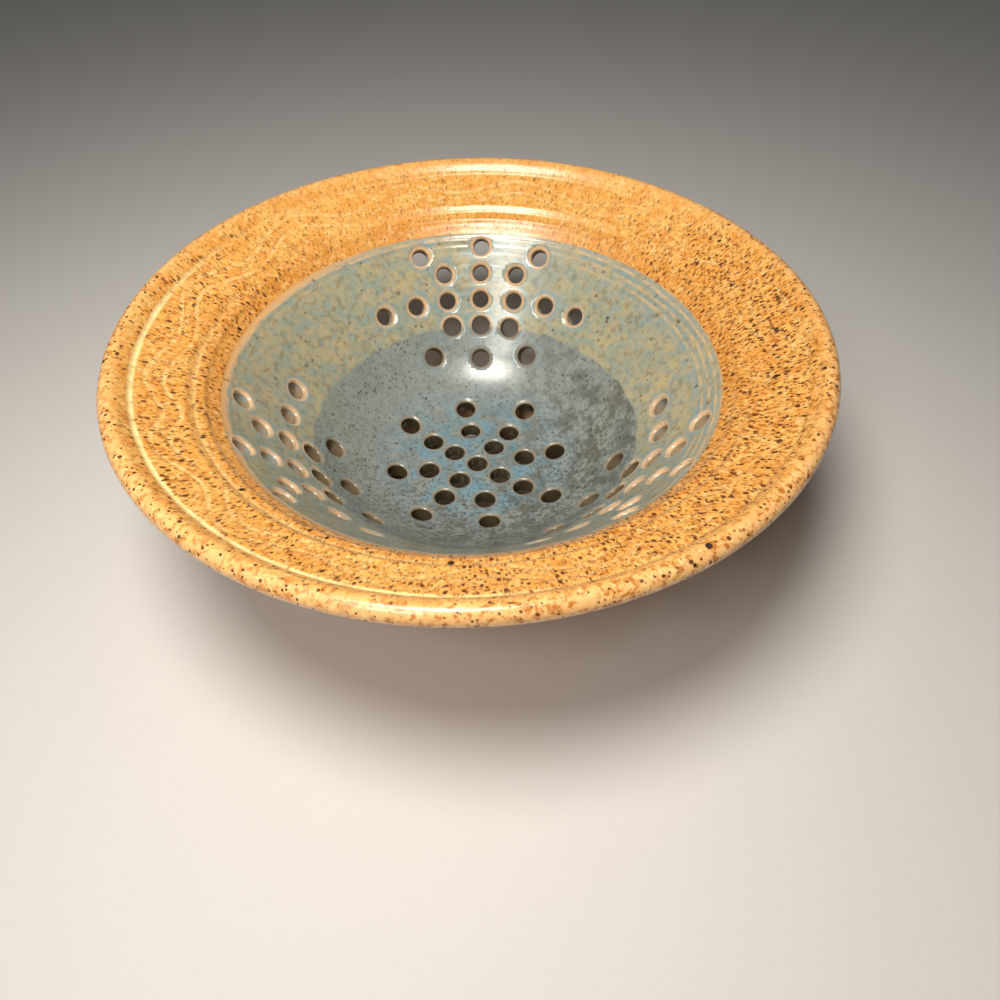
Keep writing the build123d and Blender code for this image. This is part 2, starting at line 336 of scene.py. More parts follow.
class WheelLine:
    """The glazed surface in half section, from the middle of the floor over the lip to the underside."""

    def __init__(self, shape, lines):
        floor = shape.foot_clearance + shape.wall_thickness
        centre = (shape.flat_radius, floor + shape.bowl_round)
        wall = sunk(centre, shape.wall_slope, shape.bowl_round)
        edge = on_line(wall, shape.wall_slope, shape.well_radius)
        inner_line = on_line(edge, shape.shoulder_slope, shape.well_radius + shape.shoulder_width)
        outer_line = on_line(inner_line, shape.band_slope, shape.rim_radius - shape.lip_width)
        lip = on_line(inner_line, shape.band_slope, shape.rim_radius - shape.lip_round)
        lip = (lip[0], lip[1] - shape.lip_drop)
        outside = sunk(wall, shape.wall_slope, shape.wall_thickness)
        shoulder = sunk(edge, shape.shoulder_slope, shape.wall_thickness)
        corner = meet(outside, shape.wall_slope, shoulder, shape.shoulder_slope)
        rise = tangent_slope(outer_line, lip, shape.lip_round, 1)
        under = tangent_slope(corner, lip, shape.lip_round, -1)
        outer_round = shape.bowl_round + shape.wall_thickness
        underside = shape.foot_clearance
        stretches = {
            "floor": straight((0.0, floor), (shape.flat_radius, floor)),
            "round": bend(centre, shape.bowl_round, -pi / 2, shape.wall_slope),
            "wall": straight(wall, edge),
            "shoulder": straight(edge, inner_line),
            "band": straight(inner_line, outer_line),
            "rise": straight(outer_line, sunk(lip, rise, -shape.lip_round)),
            "lip": bend(lip, shape.lip_round, pi / 2 + rise, under - rise - pi),
            "under": straight(sunk(lip, under, shape.lip_round), corner),
            "outside": straight(corner, outside),
            "outside_round": bend(centre, outer_round, shape.wall_slope - pi / 2, -shape.wall_slope),
            "underside": straight((shape.flat_radius, underside), (0.0, underside)),
        }
        self.start = {}
        drawn = 0
        for name, points in stretches.items():
            self.start[name] = drawn * FINE
            drawn += len(points)
        self.end = (drawn - 1) * FINE
        self.points = softened(np.concatenate(list(stretches.values())), shape.softness)
        self.runs = np.arange(drawn) * FINE
        self.mark_lines(lines)

    def normals(self):
        """Unit normals on the air's side of the line."""
        along = np.gradient(self.points, axis=0)
        along /= np.linalg.norm(along, axis=1)[:, None]
        return np.stack([-along[:, 1], along[:, 0]], axis=1)

    def mark_lines(self, lines):
        """Cuts the turned lines and raises the ridges and throwing rings beside them."""
        inner = self.start["band"]
        edge = self.start["shoulder"]
        marks = [
            (self.start["rise"], -lines.line_depth, lines.line_width),
            (inner, -lines.line_depth, lines.line_width),
            (inner + lines.ridge_gap, lines.ridge_height, lines.ridge_width),
            (inner - lines.ridge_gap, lines.ridge_height, lines.ridge_width),
        ]
        for ring in range(lines.edge_rings):
            run = edge - lines.edge_line - ring * lines.edge_pitch
            fade = lines.edge_fade ** ring
            marks.append((run, -lines.ring_depth * fade, lines.ring_width))
            marks.append((run - lines.edge_pitch / 2, lines.ring_depth * fade, lines.ring_width))
        height = np.zeros(len(self.runs))
        for run, rise, width in marks:
            height += rise * np.exp(-(((self.runs - run) / width) ** 2))
        wall = np.clip((self.runs - self.start["wall"]) / RIPPLE_RISE, 0, 1)
        wall *= np.clip((edge - lines.edge_line - lines.edge_pitch - self.runs) / RIPPLE_FALL, 0, 1)
        height += wall * lines.ripple_height * np.sin(2 * pi * self.runs / lines.ripple_pitch)
        self.points = self.points + height[:, None] * self.normals()

    def between(self, runs, rows):
        """Rows that belong to the line's points, read at some runs."""
        return np.stack([np.interp(runs, self.runs, rows[:, i]) for i in (0, 1)], axis=1)

    def at(self, runs, depth=0.0):
        """Points at some runs along the line, sunk into the clay by a depth."""
        return self.between(runs, self.points - depth * self.normals())

    def normal_at(self, runs):
        """Normals at some runs along the line."""
        return self.between(runs, self.normals())

    def run_at(self, radius, first, last):
        """The run where the line reaches a radius, between two runs."""
        inside = (self.runs >= first) & (self.runs <= last)
        radii = self.points[inside, 0]
        order = np.argsort(radii)
        return float(np.interp(radius, radii[order], self.runs[inside][order]))


def steps_between(first, last, spacing):
    """Evenly spaced runs from first to last."""
    return np.linspace(first, last, max(2, round((last - first) / spacing) + 1))


# Modelling steps

def select_only(piece):
    """Makes one object the only selected and the active one."""
    bpy.ops.object.select_all(action="DESELECT")
    piece.select_set(True)
    bpy.context.view_layer.objects.active = piece


def turned_piece(name, outline, steps):
    """A closed outline turned round the bowl's axis, with its seam and poles closed."""
    bpy.ops.object.select_all(action="DESELECT")
    bpy.ops.mesh.primitive_circle_add(vertices=len(outline), fill_type="NOTHING")
    piece = bpy.context.active_object
    piece.name = name
    piece.data.name = name
    for vertex, (radius, height) in zip(piece.data.vertices, outline):
        vertex.co = (max(radius, 0.0), 0.0, height)
    wheel = piece.modifiers.new("Wheel", "SCREW")
    wheel.angle = 2 * pi
    wheel.steps = steps
    wheel.use_merge_vertices = True
    wheel.merge_threshold = MERGE
    bpy.ops.object.modifier_apply(modifier=wheel.name)
    bpy.ops.object.mode_set(mode="EDIT")
    bpy.ops.mesh.select_all(action="SELECT")
    bpy.ops.mesh.remove_doubles(threshold=MERGE)
    bpy.ops.mesh.delete_loose(use_verts=True, use_edges=True, use_faces=False)
    bpy.ops.mesh.select_all(action="SELECT")
    bpy.ops.mesh.normals_make_consistent(inside=False)
    bpy.ops.object.mode_set(mode="OBJECT")
    return piece


def turned_coat(name, line, glaze, first, last):
    """A glaze coat between two runs of the line, turned round the bowl's axis."""
    steps, spacing = WHEEL[name]
    face = line.at(steps_between(first, last, spacing))
    back = line.at(steps_between(first, last, BACK_SPACING)[::-1], glaze)
    return turned_piece(name, np.concatenate([face, back]), steps)


def corners_of(piece):
    """The places of a piece's vertices as rows."""
    places = np.empty(3 * len(piece.data.vertices))
    piece.data.vertices.foreach_get("co", places)
    return places.reshape(-1, 3)


def polar(places):
    """The azimuth and radius of each place."""
    return np.arctan2(places[:, 1], places[:, 0]), np.hypot(places[:, 0], places[:, 1])


def move_corners(piece, places):
    """Puts a piece's vertices in new places."""
    piece.data.vertices.foreach_set("co", places.ravel())
    piece.data.update()


def paint_near(piece, name, gaps, reach):
    """Keeps how near each vertex is, from 0 at the reach to 1 at no gap, for the materials to read."""
    layer = piece.data.attributes.new(name, "FLOAT", "POINT")
    layer.data.foreach_set("value", (1 - np.clip(gaps / reach, 0, 1)).astype(np.float32))


def wavy(azimuth, level, wave, waves):
    """A level with some waves round the bowl."""
    for laps, height, start in waves:
        level = level + height * wave(laps * azimuth + start)
    return level


def throw_by_hand(piece, wobble):
    """Draws the rim in and down a little, unevenly, as a hand-thrown rim is."""
    places = corners_of(piece)
    azimuth, radius = polar(places)
    lift = np.clip(places[:, 2] / CAD_HIGH.z, 0, 1) ** 2
    inward = wavy(azimuth, RIM_LEVEL, np.cos, RIM_IN)
    drawn = 1 - wobble * lift * inward / np.maximum(radius, wobble)
    places[:, 0] *= drawn
    places[:, 1] *= drawn
    places[:, 2] -= wobble * lift * wavy(azimuth, RIM_LEVEL, np.cos, RIM_DOWN)
    move_corners(piece, places)


def hole_runs(line, holes):
    """The run and azimuth of every drain hole, those in or beside the slate and then those above it."""
    low_places = [(0.0, 0.0)]
    for arm in range(STAR_ARMS):
        short_turn = holes.star_turn + arm * 2 * pi / STAR_ARMS
        arms = [(radius, short_turn + pi / STAR_ARMS) for radius in LONG_ARM_RADII]
        arms += [(radius, short_turn) for radius in SHORT_ARM_RADII]
        low_places += [(line.run_at(radius, 0, line.start["wall"]), azimuth) for radius, azimuth in arms]
    middle = line.start["shoulder"] - holes.top_margin - 2 * holes.row_pitch
    radius = line.at([middle])[0, 0]
    pitch, row = holes.hole_pitch, holes.row_pitch
    rows = [
        (2 * row, (0,)),
        (2 * row - holes.top_tip_drop, (-holes.top_tip_reach, holes.top_tip_reach)),
        (row, (-pitch, 0, pitch)),
        (0, [place * pitch for place in range(-3, 4)]),
        (-row, (-pitch, 0, pitch)),
        (-2 * row, (-holes.low_tip_reach, holes.low_tip_reach)),
        (-2 * row - holes.low_hole_drop, (0,)),
    ]
    high_places = []
    for azimuth in STAR_AZIMUTHS:
        for rise, steps in rows:
            places = low_places if rise < 0 else high_places
            places += [(middle + rise, radians(azimuth) + place / radius) for place in steps]
    return low_places, high_places


def hole_axes(places, line, holes, draw):
    """The middle of each hole's mouth and its axis out of the wall, a little uneven."""
    axes = []
    for run, azimuth in places:
        run += draw.gauss(0, holes.scatter)
        (radius, height), = line.at([abs(run)])
        (across, up), = line.normal_at([abs(run)])
        azimuth += draw.gauss(0, holes.scatter) / max(radius, LONG_ARM_RADII[0])
        out = Vector((across * cos(azimuth), across * sin(azimuth), up))
        axes.append((Vector((radius * cos(azimuth), radius * sin(azimuth), height)), out))
    return axes


def punch_outline(holes, bore, mouth, wall):
    """The half section of a punch with sponged mouths at both faces of the wall."""
    rounds = np.linspace(0, holes.mouth_turn, MOUTH_STEPS)
    radii = bore + mouth * (1 - np.cos(rounds))
    heights = -mouth * (1 - np.sin(rounds))
    flare = radii[-1] + (holes.skim - heights[-1]) * tan(holes.mouth_turn)
    wide = flare + holes.ease * tan(EASE_TURN)
    crown = [(0.0, holes.reach), (wide, holes.reach)]
    crown += [(wide, holes.skim + holes.ease), (flare, holes.skim)]
    upper = crown + list(zip(radii[::-1], heights[::-1]))
    lower = [(radius, -wall - height) for radius, height in reversed(upper)]
    return np.array(upper + lower)


def punch_holes(piece, line, settings):
    """Cuts the drain holes and keeps how near each vertex is to a hole."""
    shape, holes = settings.shape, settings.holes
    draw = random.Random(SEED)
    sizes = ((holes.low_bore, holes.low_mouth), (holes.high_bore, holes.high_mouth))
    drilled = []
    punches = []
    for (bore, mouth), starred in zip(sizes, hole_runs(line, holes)):
        outline = punch_outline(holes, bore, mouth, shape.wall_thickness)
        punch = turned_piece("punch", outline, PUNCH_STEPS)
        for middle, out in hole_axes(starred, line, holes, draw):
            copy = punch.copy()
            copy.data = punch.data.copy()
            facing = out.to_track_quat("Z", "Y").to_matrix().to_4x4()
            copy.matrix_world = Matrix.Translation(middle) @ facing
            bpy.context.scene.collection.objects.link(copy)
            punches.append(copy)
            drilled.append((np.array(middle), np.array(out), bore))
        bpy.data.objects.remove(punch)
    select_only(punches[0])
    for copy in punches[1:]:
        copy.select_set(True)
    bpy.ops.object.join()
    cutter = bpy.context.active_object
    cut = piece.modifiers.new("Drain holes", "BOOLEAN")
    cut.operation = "DIFFERENCE"
    cut.solver = "MANIFOLD"
    cut.object = cutter
    select_only(piece)
    bpy.ops.object.modifier_apply(modifier=cut.name)
    bpy.data.objects.remove(cutter)
    places = corners_of(piece)
    nearest = np.full(len(places), HOLE_REACH)
    for middle, out, bore in drilled:
        away = places - middle
        along = away @ out
        gap = np.linalg.norm(away - along[:, None] * out, axis=1) - bore
        gap[np.abs(along) > 2 * shape.wall_thickness] = HOLE_REACH
        nearest = np.minimum(nearest, gap)
    paint_near(piece, "hole_near", nearest, HOLE_REACH)


def comb_run(azimuth, line, lines):
    """The run of the outer combed line at each azimuth, a wave that the hand drew unevenly."""
    crests = np.radians(COMB_CRESTS)
    laps = np.arange(len(crests))
    crests = np.concatenate([crests[-2:] - 2 * pi, crests, crests[:2] + 2 * pi])
    laps = np.concatenate([[-2, -1], laps, len(laps) + np.arange(2)])
    swing = np.cos(2 * pi * np.interp(azimuth % (2 * pi), crests, laps))
    middle = line.run_at(lines.comb_radius, line.start["band"], line.start["rise"])
    return middle + lines.comb_reach * swing * wavy(azimuth, 1, np.sin, COMB_UNEVEN)


def comb_the_flange(piece, line, settings):
    """Draws the combed wave into the flange and keeps how near each vertex is to a drawn line."""
    lines = settings.lines
    places = corners_of(piece)
    azimuth, radius = polar(places)
    face = (line.runs >= line.start["shoulder"]) & (line.runs <= line.start["lip"])
    face_radii, face_runs = line.points[face, 0], line.runs[face]
    run = np.interp(radius, face_radii, face_runs)
    face_height = np.interp(radius, face_radii, line.points[face, 1])
    off_face = places[:, 2] <= face_height - settings.shape.glaze / 2
    off_face |= radius >= face_radii[-1]
    outer = comb_run(azimuth, line, lines)
    lean = (comb_run(azimuth + COMB_STEP / lines.comb_radius, line, lines) - outer) / COMB_STEP
    square = 1 / np.sqrt(1 + lean ** 2)
    combed = np.full(len(places), LINE_REACH)
    depth = np.zeros(len(places))
    for drawn in range(lines.comb_lines):
        gap = np.abs(run - outer + drawn * lines.comb_gap) * square
        combed = np.minimum(combed, gap)
        burr = (gap - BURR_PLACE * lines.comb_width) / lines.comb_width
        depth -= lines.comb_depth * np.exp(-((gap / lines.comb_width) ** 2))
        depth += BURR_HEIGHT * lines.comb_depth * np.exp(-(burr ** 2))
    turned = np.minimum(np.abs(run - line.start["band"]), np.abs(run - line.start["rise"]))
    depth[off_face] = 0
    combed[off_face] = LINE_REACH
    turned[off_face] = LINE_REACH
    across, up = line.normal_at(run).T
    places[:, 0] += depth * across * np.cos(azimuth)
    places[:, 1] += depth * across * np.sin(azimuth)
    places[:, 2] += depth * up
    move_corners(piece, places)
    paint_near(piece, "combed_near", combed, LINE_REACH)
    paint_near(piece, "turned_near", turned, LINE_REACH)


def finish_piece(piece, settings, finish, node, slot):
    """Smooths a piece, gives it its finish and seats it in the frame."""
    if not len(piece.data.polygons):
        raise RuntimeError(f"{piece.name} has no faces")
    select_only(piece)
    bpy.ops.object.shade_smooth_by_angle(angle=SHADE_ANGLE)
    piece.data.materials.clear()
    piece.data.materials.append(bpy.data.materials.get(finish.__name__) or finish(settings))
    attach(piece, "root")
    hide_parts(node)


# Measures of the finishes, with places and radii in millimetres

# Iron specks: how far apart, how large, what share is kept and how strong
SPECKS = {
    "flange freckles": (0.82, 0.6, 0.75, 0.6),
    "lip freckles": (1.1, 0.45, 0.55, 0.6),
    "flange dots": (1.28, 0.47, 0.75, 0.9),
    "lip dots": (1.6, 0.42, 0.55, 0.7),
    "flange spots": (2.4, 0.28, 0.35, 1.0),
    "lip spots": (3.3, 0.31, 0.5, 1.0),
    "blots": (8.0, 0.13, 0.4, 1.0),
    "wall rust": (2.6, 0.34, 0.45, 0.6),
    "wall iron": (5.0, 0.19, 0.5, 0.8),
    "slate pepper": (1.2, 0.5, 0.65, 0.5),
    "slate iron": (2.6, 0.3, 0.5, 0.6),
    "clay iron": (1.8, 0.36, 0.45, 0.75),
}

# Glaze clouds: size, the two levels of noise and how strong
CLOUDS = {
    "gold": (7.0, 0.38, 0.62, 1.0),
    "flange grain": (1.0, 0.44, 0.64, 0.75),
    "lip grain": (1.7, 0.46, 0.66, 0.75),
    "pale": (1.4, 0.52, 0.68, 0.42),
    "sea": (9.0, 0.4, 0.6, 0.75),
    "sea runs": (3.0, 0.46, 0.7, 0.5),
    "blue": (4.0, 0.48, 0.64, 0.45),
    "ochre": (2.2, 0.48, 0.68, 0.48),
    "moss": (2.4, 0.47, 0.68, 0.5),
    "star": (8.0, 0.4, 0.56, 0.82),
    "murk": (1.4, 0.44, 0.62, 0.6),
    # Clumps are real dark mottling, weighted up on the floor's near right as painted shade.
    "clumps_and_shade": (6.0, 0.4, 0.62, 0.52),
    "flash": (22.0, 0.4, 0.65, 1.0),
    "bore blue": (5.0, 0.45, 0.62, 0.6),
}

# Sides of the bowl: the direction across it, the two levels, and the mask at each
SIDES = {
    # Painted light: the far flange gets fewer specks and fainter combed lines, which makes that side
    # lighter.
    "far flange": ((0.0, 0.0098, 0.0), 0.2, 0.85, 1.0, 0.5),
    "near right flange": ((0.0095, -0.005, 0.0), 0.1, 0.9, 1.0, 1.4),
    "left lip": ((-0.0095, 0.0, 0.0), -0.1, 0.7, 1.0, 1.7),
    "comb": ((-0.0085, 0.0065, 0.0), -0.6, 0.3, 0.5, 1.0),
    # Painted highlight: the cream in the turned lines is strongest on the left and front-left.
    "cream_glint": ((-0.0082, -0.0062, 0.0), 0.3, 0.75, 0.12, 1.0),
    "rings": ((0.0125, -0.0045, 0.0), 0.0, 0.75, 0.0, 0.8),
    "blue": ((0.0125, 0.006, 0.0), -0.7, 0.3, 0.2, 1.0),
    # Painted shade: murk mottling is laid thicker over the front of the floor to darken it.
    "front floor": ((0.004, -0.022, 0.0), -0.6, 0.9, 0.4, 1.4),
    # Real dark clumps on the near right of the floor, made heavier as painted shade.
    "near right floor": ((0.02, -0.014, 0.0), -0.6, 0.9, 0.3, 1.3),
    # Painted shade over the front of the well.
    "painted front shade": ((-0.003, -0.016, 0.0), 0.0, 0.9, 0.0, 0.25),
}

# Patches: size, the two levels of noise, and the mask at each
PATCHES = {
    "laden": (16.0, 0.3, 0.6, 0.85, 1.15),
    "comb": (3.5, 0.35, 0.65, 0.06, 0.42),
    "cream_glint": (5.0, 0.3, 0.6, 0.45, 1.0),
    "tan sheen": (6.0, 0.3, 0.7, 0.24, 0.36),
    "rings": (5.0, 0.34, 0.62, 0.05, 0.65),
    "beside hole": (4.0, 0.3, 0.6, 0.1, 0.55),
    "bared": (2.4, 0.34, 0.6, 0.35, 0.95),
    "well sheen": (8.0, 0.3, 0.7, 0.17, 0.27),
}

# Steps of a radius, a nearness to a line or hole, or a wave: the two levels, and the mask at each
LEVELS = {
    "lip": (97.5, 101.5),
    "pink lip": (98.5, 103.5, 0.0, 0.6),
    "deep shoulder": (84.0, 79.5, 0.0, 0.42),
    "cream_glint": (85.0, 94.0, 0.28, 1.0),
    "star": (42.0, 14.0),
    "wall bore": (34.5, 40.0, 0.0, 0.3),
    "comb line": (0.7, 0.88),
    "burr rise": (0.5, 0.66),
    "burr fall": (0.84, 0.7),
    "turned line": (0.6, 0.84),
    "ring crest": (0.1, -0.8),
    "ring trough": (0.0, 0.8),
    "beside hole": (0.05, 0.5),
    "broken glaze": (0.54, 0.82),
    "sunken edge": (0.92, 0.99),
    "hole edge": (0.6, 0.85),
    "bore": (0.96, 0.995),
    "bore gloss": (0.5, 0.8, 0.82, 0.16),
    "bare clay": (0.6, 0.3),
    "clay grain": (0.35, 0.7, 0.0, 0.4),
}

# Uneven lines: size of the lumps that push a value about, and how far they push it in all
STRAYS = {"rings": (9.0, 1.2), "border": (7.0, 1.8), "hole edge": (2.0, 0.16)}

# Rings on the wall: lower and upper end from the well's edge (only upper for the top ring), and softness
BANDS = {
    "top ring": (2.0, 0.4),
    "low rings": (-6.5, -0.2, 0.8),
    "streak": (-7.4, -5.8, 0.7),
    "worn edge": (-1.2, 2.0, 0.45),
}

# Clear coat of each finish: weight, roughness, and depth of its bumps in metres
COATS = {
    "freckled_tan": (0.3, 0.14, 0.06 * MM),
    "well_glaze": (0.45, 0.16, 0.05 * MM),
    "fired_clay": (0.0, 0.03, 0.12 * MM),
}


# Materials

class Nodes:
    """Short calls that add shader nodes to one tree and join their sockets."""

    def __init__(self, tree):
        self.tree = tree

    def put(self, kind, inputs=None, **settings):
        """Adds a node with some settings, and feeds its inputs by name or number."""
        node = self.tree.nodes.new(kind)
        for name, value in settings.items():
            setattr(node, name, value)
        for socket, value in (inputs or {}).items():
            self.feed(node.inputs[socket], value)
        return node

    def feed(self, socket, value):
        """Links a socket to an output, or sets it to a plain value."""
        if isinstance(value, bpy.types.NodeSocket):
            self.tree.links.new(value, socket)
        elif isinstance(value, (int, float)):
            socket.default_value = value
        else:
            values = list(value)
            socket.default_value = values + [1.0] * (len(socket.default_value) - len(values))

    def maths(self, operation, a, b=0.0, clamp=False):
        """One sum on two values."""
        return self.put("ShaderNodeMath", {0: a, 1: b}, operation=operation, use_clamp=clamp).outputs[0]

    def times(self, *values):
        """The product of some values."""
        return reduce(lambda a, b: self.maths("MULTIPLY", a, b), values)

    def plus(self, value, mask, weight):
        """A value with a weighted mask added to it."""
        return self.maths("ADD", value, self.maths("MULTIPLY", mask, weight))

    def most(self, a, b):
        """The greater of two values."""
        return self.maths("MAXIMUM", a, b)

    def vector(self, operation, a, b=(0.0, 0.0, 0.0)):
        """One sum on two vectors."""
        node = self.put("ShaderNodeVectorMath", {0: a, 1: b}, operation=operation)
        return node.outputs["Value" if operation in ("LENGTH", "DOT_PRODUCT") else "Vector"]

    def mix(self, amount, low, high):
        """A colour between two colours."""
        return self.put("ShaderNodeMix", {0: amount, 6: low, 7: high}, data_type="RGBA").outputs[2]

    def step(self, *numbers):
        """A smooth step of a value between two levels, from 0 to 1 or between two numbers."""
        inputs = dict(enumerate(numbers))
        return self.put("ShaderNodeMapRange", inputs, interpolation_type="SMOOTHSTEP").outputs[0]

    def noise(self, place, scale, detail=2.0, rough=0.55):
        """Soft noise at a scale."""
        inputs = {"Vector": place, "Scale": scale, "Detail": detail, "Roughness": rough}
        return self.put("ShaderNodeTexNoise", inputs).outputs["Fac"]

    def layer(self, name):
        """A value that was kept on the mesh."""
        node = self.put("ShaderNodeAttribute", attribute_type="GEOMETRY", attribute_name=name)
        return node.outputs["Fac"]

    def group(self, make, **inputs):
        """A shared node group, made the first time that it is put in, with its inputs fed."""
        name = make.__name__.replace("_", " ").capitalize()
        tree = bpy.data.node_groups.get(name) or make(name)
        return self.put("ShaderNodeGroup", inputs, node_tree=tree).outputs


def new_group(name, inputs, outputs):
    """An empty node group with named sockets."""
    tree = bpy.data.node_groups.new(name, "ShaderNodeTree")
    for direction, sockets in (("INPUT", inputs), ("OUTPUT", outputs)):
        for socket, kind in sockets.items():
            tree.interface.new_socket(name=socket, in_out=direction, socket_type="NodeSocket" + kind)
    nodes = Nodes(tree)
    return tree, nodes, nodes.put("NodeGroupInput").outputs, nodes.put("NodeGroupOutput").inputs


def wheel_places(name):
    """Places on the bowl in millimetres: plain, drawn out down the slope, and the radius."""
    drawn, still_radius = 0.62, 90
    tree, nodes, _, end = new_group(name, {}, {"Place": "Vector", "Flow": "Vector", "Radius": "Float"})
    place = nodes.vector("MULTIPLY", nodes.put("ShaderNodeTexCoord").outputs["Object"], (1 / MM,) * 3)
    x, y, z = nodes.put("ShaderNodeSeparateXYZ", {0: place}).outputs
    flat = nodes.put("ShaderNodeCombineXYZ", {0: x, 1: y}).outputs[0]
    radius = nodes.vector("LENGTH", flat)
    pulled = nodes.maths("ADD", nodes.times(radius, drawn), still_radius * (1 - drawn))
    outward = {"Vector": nodes.vector("NORMALIZE", flat), "Scale": pulled}
    outward = nodes.put("ShaderNodeVectorMath", outward, operation="SCALE").outputs["Vector"]
    upward = nodes.put("ShaderNodeCombineXYZ", {2: nodes.times(z, drawn)}).outputs[0]
    nodes.feed(end["Place"], place)
    nodes.feed(end["Flow"], nodes.vector("ADD", outward, upward))
    nodes.feed(end["Radius"], radius)
    return tree


def iron_specks(name):
    """A mask of round specks: how far apart, how large and what share of the places has one."""
    wander_scale, wander_reach, sharpness = 2.0, 0.35, 9.0
    inputs = {"Vector": "Vector", "Spacing": "Float", "Size": "Float", "Share": "Float"}
    tree, nodes, start, end = new_group(name, inputs, {"Mask": "Float"})
    wander = nodes.put("ShaderNodeTexNoise", {"Vector": start["Vector"], "Scale": wander_scale})
    shift = nodes.vector("MULTIPLY", wander.outputs["Color"], (wander_reach,) * 3)
    scale = nodes.maths("DIVIDE", 1.0, start["Spacing"])
    cells = {"Vector": nodes.vector("ADD", start["Vector"], shift), "Scale": scale}
    cells = nodes.put("ShaderNodeTexVoronoi", cells, feature="F1").outputs
    drawn = nodes.put("ShaderNodeSeparateColor", {0: cells["Color"]}).outputs[0]
    kept = nodes.maths("ADD", drawn, nodes.maths("SUBTRACT", start["Share"], 1.0))
    size = nodes.times(nodes.maths("DIVIDE", kept, start["Share"]), start["Size"])
    inside = nodes.maths("SUBTRACT", size, cells["Distance"])
    nodes.feed(end["Mask"], nodes.maths("MULTIPLY", inside, sharpness, clamp=True))
    return tree


def glaze_cloud(name):
    """A mask of soft clouds of one size, between two levels of noise."""
    inputs = {"Vector": "Vector", "Size": "Float", "Low": "Float", "High": "Float"}
    tree, nodes, start, end = new_group(name, inputs, {"Mask": "Float"})
    scale = nodes.maths("DIVIDE", 1.0, start["Size"])
    lumps = nodes.noise(start["Vector"], scale, detail=3.0, rough=0.6)
    nodes.feed(end["Mask"], nodes.step(lumps, start["Low"], start["High"]))
    return tree


class Finish(Nodes):
    """The nodes of one finish: its shader, the places on the bowl and the masks that finishes share."""

    def __init__(self, name):
        self.material = bpy.data.materials.new(name)
        self.material.use_nodes = True
        super().__init__(self.material.node_tree)
        self.tree.nodes.clear()
        shader = self.put("ShaderNodeBsdfPrincipled")
        self.put("ShaderNodeOutputMaterial", {"Surface": shader.outputs[0]})
        self.shader = shader.inputs
        wheel = self.group(wheel_places)
        self.place, self.flow, self.radius = wheel["Place"], wheel["Flow"], wheel["Radius"]

    def specks(self, name, place):
        """A mask of iron specks."""
        spacing, size, kept, weight = SPECKS[name]
        mask = self.group(iron_specks, Vector=place, Spacing=spacing, Size=size, Share=kept)["Mask"]
        return self.times(mask, weight)

    def clouds(self, name, place):
        """A mask of glaze clouds."""
        size, low, high, weight = CLOUDS[name]
        mask = self.group(glaze_cloud, Vector=place, Size=size, Low=low, High=high)["Mask"]
        return self.times(mask, weight)

    def side(self, name):
        """A mask that changes across the bowl."""
        direction, *levels = SIDES[name]
        return self.step(self.vector("DOT_PRODUCT", self.place, direction), *levels)

    def lumps(self, size, detail=2.0):
        """Soft noise with lumps about one size across."""
        return self.noise(self.place, 1 / size, detail)

    def patches(self, name):
        """A mask that changes from patch to patch."""
        size, *levels = PATCHES[name]
        return self.step(self.lumps(size), *levels)

    def level(self, value, name):
        """A mask that changes with a value."""
        return self.step(value, *LEVELS[name])

    def strayed(self, value, name):
        """A value pushed up and down by lumps."""
        size, reach = STRAYS[name]
        return self.plus(value, self.maths("SUBTRACT", self.lumps(size), 0.5), reach)

    def stained(self, tone, *stains):
        """A tone with colours laid over it in turn, each where all its masks are strong."""
        for hue, *masks in stains:
            tone = self.mix(self.times(*masks), tone, hue)
        return tone

    def finished(self, tone, rough, height):
        """The material, with its shader fed."""
        weight, coat_rough, depth = COATS[self.material.name]
        bumps = self.put("ShaderNodeBump", {"Height": height, "Distance": depth}).outputs[0]
        values = {"Base Color": tone, "Roughness": rough, "Normal": bumps,
                  "Coat Weight": weight, "Coat Roughness": coat_rough}
        for socket, value in values.items():
            self.feed(self.shader[socket], value)
        return self.material


